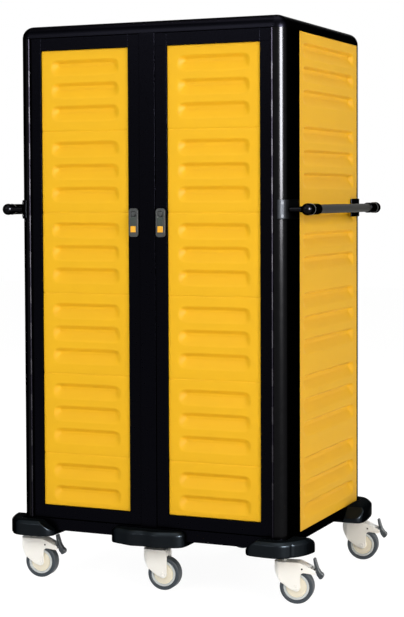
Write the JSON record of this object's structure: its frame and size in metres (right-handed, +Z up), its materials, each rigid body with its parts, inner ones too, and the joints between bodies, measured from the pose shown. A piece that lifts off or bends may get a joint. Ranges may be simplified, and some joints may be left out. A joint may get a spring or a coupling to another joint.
{
  "type": "enclosed meal tray cart",
  "caption": "Tall closed cart with twin ribbed doors, tray runners inside, flip latches, side push bars, bumpers and swivel casters.",
  "frame": {"origin": "on the floor, under the middle of the whole outline with the casters as they stand in the picture; the cabinet's own middle lies 13.0 mm to the left of it", "axes": "+X to the right and +Y to the back as the doors are faced, +Z up"},
  "size_m": [1.0672, 0.8062, 1.728],
  "materials": {
    "frame_black": "gloss black coating",
    "trim_black": "gloss",
    "corner_black": "satin",
    "panel_yellow": "satin moulded",
    "liner_yellow": "satin moulded",
    "sill_black": "gloss",
    "steel": "zinc",
    "floor_grey": "satin",
    "bumper": "satin moulded",
    "stem_zinc": "zinc",
    "caster_white": "satin",
    "hub_cream": "satin",
    "tyre_slate": "satin",
    "pedal_grey": "satin",
    "handle_grey": "satin coating",
    "fitting_black": "gloss",
    "clamp_black": "satin coating",
    "screw_black": "satin",
    "hinge_dark": "dark coating",
    "latch_grey": "satin",
    "lever_grey": "satin",
    "button_yellow": "gloss"
  },
  "bodies": {
    "cart": {"base_frame": "sill_black", "chassis_tubes": "steel", "floor_panel": "floor_grey", "corner_posts": "frame_black", "front_mullion": "frame_black", "rear_mullion": "frame_black", "centre_divider": "liner_yellow", "tray_runners": "liner_yellow", "side_panel_left": "panel_yellow", "side_panel_right": "panel_yellow", "rear_panels": "panel_yellow", "top_rails": "trim_black", "top_corner_caps": "corner_black", "roof": "trim_black", "corner_bumpers": "bumper", "middle_bumpers": "bumper", "caster_stems": "stem_zinc", "handle_screws": "screw_black", "handle_clamps": "clamp_black", "handle_fittings": "fitting_black", "handle_tubes": "handle_grey", "hinge_fixed_leaves": "hinge_dark"},
    "door_left": {"door_left_frame": "trim_black", "door_left_corners": "corner_black", "door_left_panel": "panel_yellow", "door_left_hinge_leaf": "hinge_dark", "latch_left_body": "latch_grey"},
    "lever_left": {"latch_left_lever": "lever_grey"},
    "button_left": {"latch_left_button": "button_yellow"},
    "door_right": {"door_right_frame": "trim_black", "door_right_corners": "corner_black", "door_right_panel": "panel_yellow", "door_right_hinge_leaf": "hinge_dark", "latch_right_body": "latch_grey"},
    "lever_right": {"latch_right_lever": "lever_grey"},
    "button_right": {"latch_right_button": "button_yellow"},
    "swivel_fl": {"caster_fl_fork": "caster_white"},
    "wheel_fl": {"caster_fl_hub": "hub_cream", "caster_fl_tyre": "tyre_slate"},
    "pedal_fl": {"caster_fl_pedal": "pedal_grey"},
    "swivel_fm": {"caster_fm_fork": "caster_white"},
    "wheel_fm": {"caster_fm_hub": "hub_cream", "caster_fm_tyre": "tyre_slate"},
    "swivel_fr": {"caster_fr_fork": "caster_white"},
    "wheel_fr": {"caster_fr_hub": "hub_cream", "caster_fr_tyre": "tyre_slate"},
    "pedal_fr": {"caster_fr_pedal": "pedal_grey"},
    "swivel_rl": {"caster_rl_fork": "caster_white"},
    "wheel_rl": {"caster_rl_hub": "hub_cream", "caster_rl_tyre": "tyre_slate"},
    "pedal_rl": {"caster_rl_pedal": "pedal_grey"},
    "swivel_rm": {"caster_rm_fork": "caster_white"},
    "wheel_rm": {"caster_rm_hub": "hub_cream", "caster_rm_tyre": "tyre_slate"},
    "swivel_rr": {"caster_rr_fork": "caster_white"},
    "wheel_rr": {"caster_rr_hub": "hub_cream", "caster_rr_tyre": "tyre_slate"},
    "pedal_rr": {"caster_rr_pedal": "pedal_grey"}
  },
  "joints": [
    {"name": "door_left_swing", "type": "hinge", "parent": "cart", "child": "door_left", "pos_m": [-0.4175, -0.3565, 0.9], "axis": [0, 0, -1], "range_deg": [0, 180]},
    {"name": "latch_left_lift", "type": "hinge", "parent": "door_left", "child": "lever_left", "pos_m": [-0.05825, -0.3552, 1.134], "axis": [-1, 0, 0], "range_deg": [0, 50]},
    {"name": "latch_left_push", "type": "slide", "parent": "door_left", "child": "button_left", "axis": [0, 1, 0], "range_m": [0, 0.0025], "stiffness_N_per_m": 400},
    {"name": "door_right_swing", "type": "hinge", "parent": "cart", "child": "door_right", "pos_m": [0.3915, -0.3565, 0.9], "axis": [0, 0, 1], "range_deg": [0, 180]},
    {"name": "latch_right_lift", "type": "hinge", "parent": "door_right", "child": "lever_right", "pos_m": [0.03225, -0.3552, 1.134], "axis": [-1, 0, 0], "range_deg": [0, 50]},
    {"name": "latch_right_push", "type": "slide", "parent": "door_right", "child": "button_right", "axis": [0, 1, 0], "range_m": [0, 0.0025], "stiffness_N_per_m": 400},
    {"name": "swivel_fl_turn", "type": "hinge", "parent": "cart", "child": "swivel_fl", "pos_m": [-0.442, -0.321, 0.12], "axis": [0, 0, 1], "continuous": true},
    {"name": "wheel_fl_roll", "type": "hinge", "parent": "swivel_fl", "child": "wheel_fl", "pos_m": [-0.40421, -0.31703, 0.05], "axis": [-0.1045, 0.9945, 0], "continuous": true},
    {"name": "pedal_fl_rock", "type": "hinge", "parent": "swivel_fl", "child": "pedal_fl", "pos_m": [-0.35249, -0.31159, 0.097], "axis": [-0.1045, 0.9945, 0], "range_deg": [0, 15]},
    {"name": "swivel_fm_turn", "type": "hinge", "parent": "cart", "child": "swivel_fm", "pos_m": [-0.013, -0.321, 0.12], "axis": [0, 0, 1], "continuous": true},
    {"name": "wheel_fm_roll", "type": "hinge", "parent": "swivel_fm", "child": "wheel_fm", "pos_m": [0.02491, -0.31835, 0.05], "axis": [-0.0698, 0.9976, 0], "continuous": true},
    {"name": "swivel_fr_turn", "type": "hinge", "parent": "cart", "child": "swivel_fr", "pos_m": [0.416, -0.321, 0.12], "axis": [0, 0, 1], "continuous": true},
    {"name": "wheel_fr_roll", "type": "hinge", "parent": "swivel_fr", "child": "wheel_fr", "pos_m": [0.45353, -0.31505, 0.05], "axis": [-0.1564, 0.9877, 0], "continuous": true},
    {"name": "pedal_fr_rock", "type": "hinge", "parent": "swivel_fr", "child": "pedal_fr", "pos_m": [0.50489, -0.30692, 0.097], "axis": [-0.1564, 0.9877, 0], "range_deg": [0, 15]},
    {"name": "swivel_rl_turn", "type": "hinge", "parent": "cart", "child": "swivel_rl", "pos_m": [-0.442, 0.301, 0.12], "axis": [0, 0, 1], "continuous": true},
    {"name": "wheel_rl_roll", "type": "hinge", "parent": "swivel_rl", "child": "wheel_rl", "pos_m": [-0.40428, 0.30563, 0.05], "axis": [-0.1219, 0.9925, 0], "continuous": true},
    {"name": "pedal_rl_rock", "type": "hinge", "parent": "swivel_rl", "child": "pedal_rl", "pos_m": [-0.35267, 0.31197, 0.097], "axis": [-0.1219, 0.9925, 0], "range_deg": [0, 15]},
    {"name": "swivel_rm_turn", "type": "hinge", "parent": "cart", "child": "swivel_rm", "pos_m": [-0.013, 0.301, 0.12], "axis": [0, 0, 1], "continuous": true},
    {"name": "wheel_rm_roll", "type": "hinge", "parent": "swivel_rm", "child": "wheel_rm", "pos_m": [0.0243, 0.30825, 0.05], "axis": [-0.1908, 0.9816, 0], "continuous": true},
    {"name": "swivel_rr_turn", "type": "hinge", "parent": "cart", "child": "swivel_rr", "pos_m": [0.416, 0.301, 0.12], "axis": [0, 0, 1], "continuous": true},
    {"name": "wheel_rr_roll", "type": "hinge", "parent": "swivel_rr", "child": "wheel_rr", "pos_m": [0.45363, 0.30629, 0.05], "axis": [-0.1392, 0.9903, 0], "continuous": true},
    {"name": "pedal_rr_rock", "type": "hinge", "parent": "swivel_rr", "child": "pedal_rr", "pos_m": [0.50513, 0.31353, 0.097], "axis": [-0.1392, 0.9903, 0], "range_deg": [0, 15]}
  ]
}
